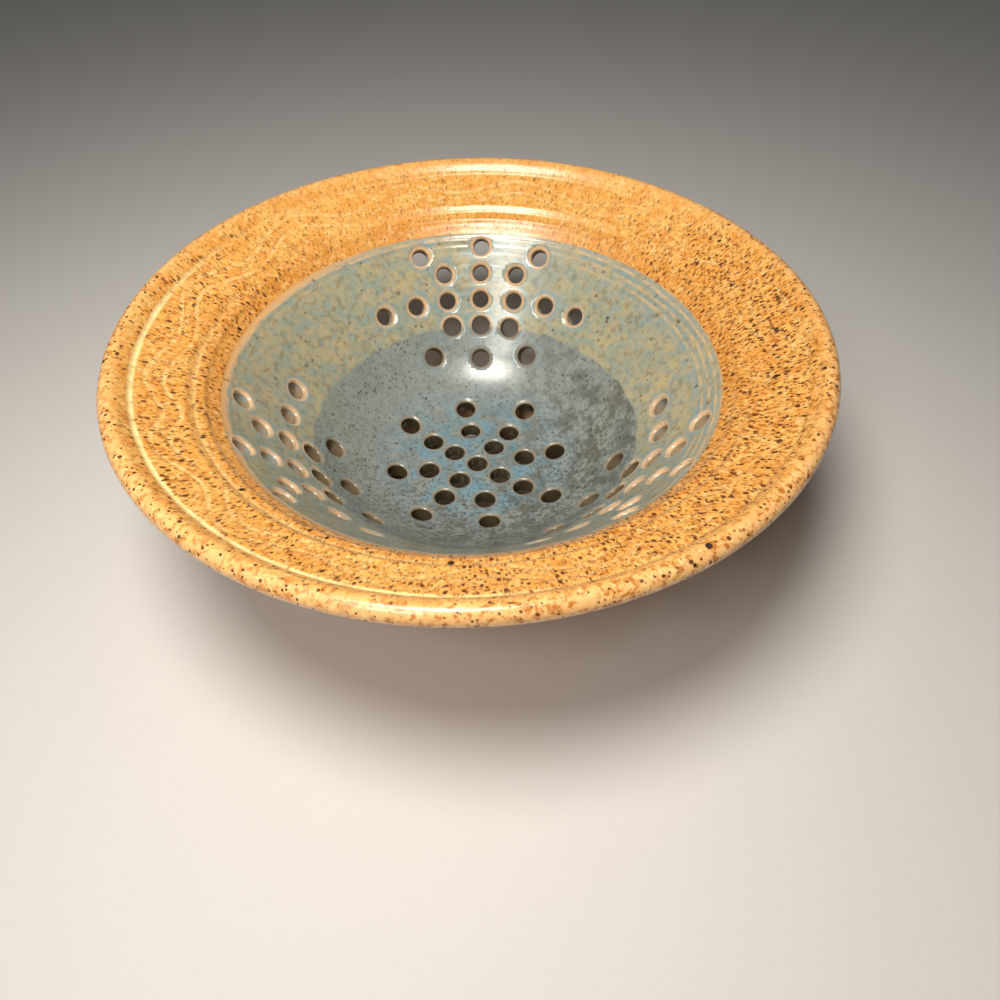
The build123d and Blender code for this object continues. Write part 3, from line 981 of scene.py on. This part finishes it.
def freckled_tan(settings):
    """Golden tan glaze, freckled with iron and pooled to cream in the drawn lines, with a painted
    highlight in the turned lines on the left and front-left, and fewer specks on the far side as painted
    light.
    """
    colours, nodes = settings.colours, Finish("freckled_tan")
    place, flow, radius = nodes.place, nodes.flow, nodes.radius
    times, level = nodes.times, nodes.level
    pooled_and_glint_hides, pit_rough, pit_depth, peel_size, peel_height = 0.8, 0.18, 0.5, 1.8, 0.6
    on_lip = level(radius, "lip")
    off_lip = nodes.plus(1.0, on_lip, -1.0)
    lip_laden = times(on_lip, nodes.side("left lip"))
    # Painted light: the far side gets fewer specks and fainter combed lines, so it reads lighter.
    far_side = nodes.side("far flange")
    laden = times(far_side, nodes.patches("laden"), nodes.side("near right flange"))

    def strewn(kind, mask, lip):
        """Marks of one kind, drawn out on the flange and round on the lip."""
        on_flange = times(mask("flange " + kind, flow), off_lip)
        return times(nodes.most(on_flange, times(mask("lip " + kind, place), lip)), laden)

    dots = strewn("dots", nodes.specks, lip_laden)
    iron = nodes.most(strewn("spots", nodes.specks, on_lip), nodes.specks("blots", place))
    combed = nodes.layer("combed_near")
    drawn = times(nodes.patches("comb"), nodes.side("comb"), far_side)
    # Pooled cream in the turned lines, with a painted highlight that is strongest on the left and
    # front-left.
    cream_glint = times(nodes.side("cream_glint"), level(radius, "cream_glint"), nodes.patches("cream_glint"))
    pooled_and_glint = times(level(nodes.layer("turned_near"), "turned line"), cream_glint)
    tone = nodes.stained(
        colours.tan_gold,
        (colours.tan_light, nodes.clouds("gold", place)),
        (colours.tan_deep, level(radius, "deep shoulder")),
        (colours.tan_pink, level(radius, "pink lip")),
        (colours.rust, strewn("grain", nodes.clouds, on_lip)),
        (colours.cream, nodes.clouds("pale", flow)),
        (colours.tan_deep, level(combed, "burr rise"), level(combed, "burr fall"), drawn),
        (colours.cream, level(combed, "comb line"), drawn),
        (colours.umber, strewn("freckles", nodes.specks, lip_laden)),
        (colours.cream, pooled_and_glint),
        (colours.umber, dots, nodes.plus(1.0, pooled_and_glint, -pooled_and_glint_hides)),
        (colours.iron, iron),
    )
    pits = nodes.most(dots, iron)
    rough = nodes.plus(nodes.patches("tan sheen"), pits, pit_rough)
    height = nodes.plus(times(nodes.lumps(peel_size), peel_height), pits, -pit_depth)
    return nodes.finished(tone, rough, height)


def well_glaze(settings):
    """Sage and blue-green glaze on the wall, and slate on the floor inside a crisp border, with painted
    shade over the front of the well, on the floor's front and near right and in the floor holes, and a
    painted highlight on the left of the well's edge.
    """
    colours, shape, lines = settings.colours, settings.shape, settings.lines
    nodes = Finish("well_glaze")
    place, radius, times, level = nodes.place, nodes.radius, nodes.times, nodes.level
    edge, slate_edge, slate_soft = shape.well_radius / MM, shape.slate_radius / MM, 0.35
    first_ring = -lines.edge_line / MM * cos(shape.wall_slope)
    ring_pitch = lines.edge_pitch / MM * cos(shape.wall_slope)
    worn_all_round, slate_hides, slate_keeps, slate_rough, peel_size = 1.1, 0.55, 0.07, 0.06, 2.4
    top_reach = 1.3 * ring_pitch

    def band(low, high, soft):
        """A ring between two distances from the well's edge."""
        rise = nodes.step(radius, edge + low - soft, edge + low + soft)
        return times(rise, nodes.step(radius, edge + high + soft, edge + high - soft))

    from_ring = nodes.maths("SUBTRACT", nodes.strayed(radius, "rings"), edge + first_ring)
    rings = nodes.maths("COSINE", times(from_ring, 2 * pi / ring_pitch))
    patchy, ring_side, blue_side = nodes.patches("rings"), nodes.side("rings"), nodes.side("blue")
    top_ring = band(first_ring - top_reach, *BANDS["top ring"])
    ringed = times(nodes.most(top_ring, times(band(*BANDS["low rings"]), ring_side)), patchy)
    # The edge is worn thin all round, and a painted highlight makes it paler on the left.
    worn_and_lit_side = nodes.plus(worn_all_round, blue_side, -1.0)
    wall = nodes.stained(
        colours.sage,
        (colours.sea, nodes.clouds("sea", place)),
        (colours.sea, nodes.clouds("sea runs", nodes.flow)),
        (colours.pool_blue, nodes.clouds("blue", place)),
        (colours.ochre, nodes.clouds("ochre", place)),
        (colours.moss, nodes.clouds("moss", place)),
        (colours.peach, level(rings, "ring crest"), ringed),
        (colours.pool_blue, level(rings, "ring trough"), ringed, blue_side),
        (colours.pool_blue, band(*BANDS["streak"]), ring_side, patchy),
        (colours.worn_edge, band(*BANDS["worn edge"]), worn_and_lit_side),
        (colours.umber, nodes.specks("wall rust", place)),
        (colours.iron, nodes.specks("wall iron", place)),
    )
    slate = nodes.stained(
        colours.slate,
        (colours.slate_blue, level(radius, "star"), nodes.clouds("star", place)),
        # Real dark mottling on the floor, laid thicker at the front and near right as painted shade.
        (colours.murk, nodes.clouds("murk", place), nodes.side("front floor")),
        (colours.murk, nodes.clouds("clumps_and_shade", place), nodes.side("near right floor")),
        (colours.iron, nodes.specks("slate pepper", place)),
        (colours.iron, nodes.specks("slate iron", place)),
    )
    border = nodes.strayed(radius, "border")
    on_floor = nodes.step(border, slate_edge + slate_soft, slate_edge - slate_soft)
    hole = nodes.layer("hole_near")
    frayed = nodes.plus(nodes.strayed(hole, "hole edge"), on_floor, -slate_keeps)
    beside = times(level(hole, "beside hole"), nodes.patches("beside hole"))
    thin = nodes.mix(on_floor, colours.peach, colours.worn_slate)
    tone = nodes.stained(
        wall,
        (slate, on_floor),
        # Painted shade darkens the front of the well.
        (colours.murk, nodes.side("painted front shade")),
        (colours.pool_blue, beside, nodes.plus(1.0, on_floor, -slate_hides)),
        (thin, level(frayed, "broken glaze"), nodes.patches("bared")),
        # Painted shade: the inner edge of each floor hole is darkened.
        (colours.dark_bore, level(hole, "sunken edge"), on_floor),
    )
    rough = nodes.plus(nodes.patches("well sheen"), on_floor, slate_rough)
    return nodes.finished(tone, rough, nodes.lumps(peel_size))


def fired_clay(settings):
    """Bare buff stoneware with iron specks, thinly glazed inside the holes, with the bores of the low
    holes darkened as painted shade.
    """
    colours, nodes = settings.colours, Finish("fired_clay")
    place, level = nodes.place, nodes.level
    slate_edge = settings.shape.slate_radius / MM
    grain_size, grain_detail, ring_scale, ring_waver, ring_height = 0.5, 4.0, 0.35, 0.6, 0.6
    above_slate, in_reach = slate_edge + 8.0, slate_edge + 3.0
    hole = nodes.layer("hole_near")
    grain = nodes.lumps(grain_size, grain_detail)
    in_slate = nodes.step(nodes.radius, above_slate, in_reach)
    hole_edge = nodes.mix(in_slate, colours.peach, colours.worn_slate)
    lining = nodes.mix(nodes.clouds("bore blue", place), colours.bore, colours.pool_blue)
    # Painted shade: the bores of the holes in and near the floor are darkened.
    low_lining = nodes.mix(level(nodes.radius, "wall bore"), colours.dark_bore, colours.bore)
    tone = nodes.stained(
        colours.clay,
        (colours.clay_deep, nodes.clouds("flash", place)),
        (colours.clay_deep, level(grain, "clay grain")),
        (colours.umber, nodes.specks("clay iron", place)),
        (hole_edge, level(hole, "hole edge")),
        (nodes.mix(in_slate, lining, low_lining), level(hole, "bore")),
    )
    turning = {"Vector": place, "Scale": ring_scale, "Distortion": ring_waver}
    turning = nodes.put("ShaderNodeTexWave", turning, wave_type="RINGS", rings_direction="Z")
    height = nodes.plus(grain, turning.outputs["Fac"], ring_height)
    height = nodes.times(height, level(hole, "bare clay"))
    return nodes.finished(tone, level(hole, "bore gloss"), height)


def plain_floor(look):
    """Pale matt paper with a faint tooth."""
    tooth_size, tooth_shade, rough = 3.0, 0.97, 0.75
    nodes = Finish("plain_floor")
    deeper = [tooth_shade * part for part in look.floor_colour]
    nodes.feed(nodes.shader["Base Color"], nodes.mix(nodes.lumps(tooth_size), look.floor_colour, deeper))
    nodes.feed(nodes.shader["Roughness"], rough)
    return nodes.material


# Operators

def settings_and_line(context):
    """The bowl's settings and the line of its glazed surface."""
    settings = context.scene.berry_bowl
    return settings, WheelLine(settings.shape, settings.lines)


class BERRYBOWL_OT_clay_body(bpy.types.Operator):
    """Throw the clay bowl and punch its drain holes"""

    bl_idname = "berry_bowl.clay_body"
    bl_label = "Clay bowl"

    def execute(self, context):
        settings, line = settings_and_line(context)
        steps, spacing = WHEEL["clay_bowl_body"]
        outline = line.at(steps_between(0.0, line.end, spacing), settings.shape.glaze)
        piece = turned_piece("clay_bowl_body", outline, steps)
        throw_by_hand(piece, settings.shape.rim_wobble)
        punch_holes(piece, line, settings)
        finish_piece(piece, settings, fired_clay, "clay_bowl", "clay")
        return {"FINISHED"}


class BERRYBOWL_OT_foot(bpy.types.Operator):
    """Turn the bare foot ring under the bowl"""

    bl_idname = "berry_bowl.foot"
    bl_label = "Foot ring"

    def execute(self, context):
        settings, line = settings_and_line(context)
        shape = settings.shape
        steps, spacing = WHEEL["foot_ring_turned"]
        outer, inner = shape.foot_outer, shape.foot_outer - shape.foot_width
        edge = shape.foot_round
        first = line.run_at(outer, line.start["outside"], line.end)
        last = line.run_at(inner, line.start["outside"], line.end)
        seat = line.at(steps_between(first, last, spacing), shape.glaze)
        outside = straight((outer, edge), tuple(seat[0]))[::SIDE_STRIDE]
        inside = straight(tuple(seat[-1]), (inner, edge))[::SIDE_STRIDE]
        sole_in = bend((inner + edge, edge), edge, pi, pi / 2)[::SOLE_STRIDE]
        sole_out = bend((outer - edge, edge), edge, -pi / 2, pi / 2)[::SOLE_STRIDE]
        outline = np.concatenate([sole_in, sole_out, outside, seat, inside])
        piece = turned_piece("foot_ring_turned", outline, steps)
        finish_piece(piece, settings, fired_clay, "foot_ring", "clay")
        return {"FINISHED"}


class BERRYBOWL_OT_well_coats(bpy.types.Operator):
    """Pour the slate glaze on the floor and the sage glaze on the wall"""

    bl_idname = "berry_bowl.well_coats"
    bl_label = "Floor and wall glaze"

    def execute(self, context):
        settings, line = settings_and_line(context)
        shape = settings.shape
        edge = line.start["shoulder"]
        border = line.run_at(shape.slate_radius, line.start["wall"], edge)
        coats = (
            ("floor_glaze_coat", 0.0, border, "floor_glaze", "slate_glaze"),
            ("wall_glaze_coat", border, edge, "wall_glaze", "sage_glaze"),
        )
        for name, first, last, node, slot in coats:
            piece = turned_coat(name, line, shape.glaze, first, last)
            throw_by_hand(piece, shape.rim_wobble)
            punch_holes(piece, line, settings)
            finish_piece(piece, settings, well_glaze, node, slot)
        return {"FINISHED"}


class BERRYBOWL_OT_flange_coat(bpy.types.Operator):
    """Glaze the flange and lip, with the turned lines and the combed wave"""

    bl_idname = "berry_bowl.flange_coat"
    bl_label = "Flange glaze"

    def execute(self, context):
        settings, line = settings_and_line(context)
        shape = settings.shape
        first, last = line.start["shoulder"], line.start["under"]
        piece = turned_coat("flange_glaze_coat", line, shape.glaze, first, last)
        comb_the_flange(piece, line, settings)
        throw_by_hand(piece, shape.rim_wobble)
        finish_piece(piece, settings, freckled_tan, "flange_glaze", "tan_glaze")
        return {"FINISHED"}


class BERRYBOWL_OT_outside_coat(bpy.types.Operator):
    """Glaze the outside, down to the bare clay above the foot"""

    bl_idname = "berry_bowl.outside_coat"
    bl_label = "Outside glaze"

    def execute(self, context):
        settings, line = settings_and_line(context)
        shape = settings.shape
        first = line.start["under"]
        last = line.run_at(shape.foot_outer + shape.bare_above_foot, line.start["outside"], line.end)
        piece = turned_coat("outside_glaze_coat", line, shape.glaze, first, last)
        throw_by_hand(piece, shape.rim_wobble)
        punch_holes(piece, line, settings)
        finish_piece(piece, settings, freckled_tan, "outside_glaze", "tan_glaze")
        return {"FINISHED"}


class BERRYBOWL_OT_stage(bpy.types.Operator):
    """Lay a pale floor and set the lights and the camera"""

    bl_idname = "berry_bowl.stage"
    bl_label = "Stage"

    def execute(self, context):
        look = context.scene.berry_bowl.stage
        bpy.ops.object.select_all(action="DESELECT")
        bpy.ops.mesh.primitive_circle_add(
            vertices=FLOOR_CORNERS, radius=look.floor_radius, fill_type="NGON")
        floor = context.active_object
        floor.name = "stage_floor"
        floor.data.materials.append(plain_floor(look))
        for name, (place, tint) in LAMPS.items():
            bpy.ops.object.light_add(type="AREA", location=place)
            lamp = context.active_object
            lamp.name = name + "_light"
            lamp.data.shape = "DISK"
            lamp.data.size = getattr(look, name + "_size")
            lamp.data.energy = getattr(look, name + "_power")
            lamp.data.color = tint
            lamp.rotation_euler = (AIM - lamp.location).to_track_quat("-Z", "Y").to_euler()
        sky = bpy.data.worlds.new("studio_sky")
        sky.use_nodes = True
        sky.node_tree.nodes["Background"].inputs["Color"].default_value = SKY_TINT
        sky.node_tree.nodes["Background"].inputs["Strength"].default_value = look.sky_strength
        context.scene.world = sky
        bpy.ops.object.camera_add(location=CAMERA_PLACE)
        camera = context.active_object
        camera.name = "photo_camera"
        camera.rotation_euler = [radians(angle) for angle in CAMERA_TURN]
        camera.data.lens = look.lens
        camera.data.sensor_width = SENSOR
        camera.data.clip_start = NEAR_CLIP
        context.scene.camera = camera
        context.scene.view_settings.view_transform = "Standard"
        return {"FINISHED"}


class BERRYBOWL_PT_panel(bpy.types.Panel):
    """Lists the steps that make the berry bowl"""

    bl_idname = "BERRYBOWL_PT_panel"
    bl_label = "Berry bowl"
    bl_space_type = "VIEW_3D"
    bl_region_type = "UI"
    bl_category = "Berry bowl"

    def draw(self, context):
        for step in STEPS:
            self.layout.operator(step.bl_idname)
        for group in ("shape", "lines", "holes", "colours", "stage"):
            box = self.layout.box()
            settings = getattr(context.scene.berry_bowl, group)
            for name in settings.__annotations__:
                box.prop(settings, name)


STEPS = (
    BERRYBOWL_OT_clay_body,
    BERRYBOWL_OT_foot,
    BERRYBOWL_OT_well_coats,
    BERRYBOWL_OT_flange_coat,
    BERRYBOWL_OT_outside_coat,
    BERRYBOWL_OT_stage,
)
GROUPS = (BowlShape, TurnedLines, DrainHoles, GlazeColours, StageLook, BerryBowl)
CLASSES = GROUPS + STEPS + (BERRYBOWL_PT_panel,)


def register():
    """Registers the classes and hangs the settings on the scene."""
    for item in CLASSES:
        bpy.utils.register_class(item)
    bpy.types.Scene.berry_bowl = PointerProperty(type=BerryBowl)


def unregister():
    """Takes the settings and the classes away again."""
    del bpy.types.Scene.berry_bowl
    for item in reversed(CLASSES):
        bpy.utils.unregister_class(item)


def main():
    """Makes every piece and the stage."""
    register()
    bpy.ops.berry_bowl.clay_body()
    bpy.ops.berry_bowl.foot()
    bpy.ops.berry_bowl.well_coats()
    bpy.ops.berry_bowl.flange_coat()
    bpy.ops.berry_bowl.outside_coat()
    bpy.ops.berry_bowl.stage()


if __name__ == "__main__":
    main()
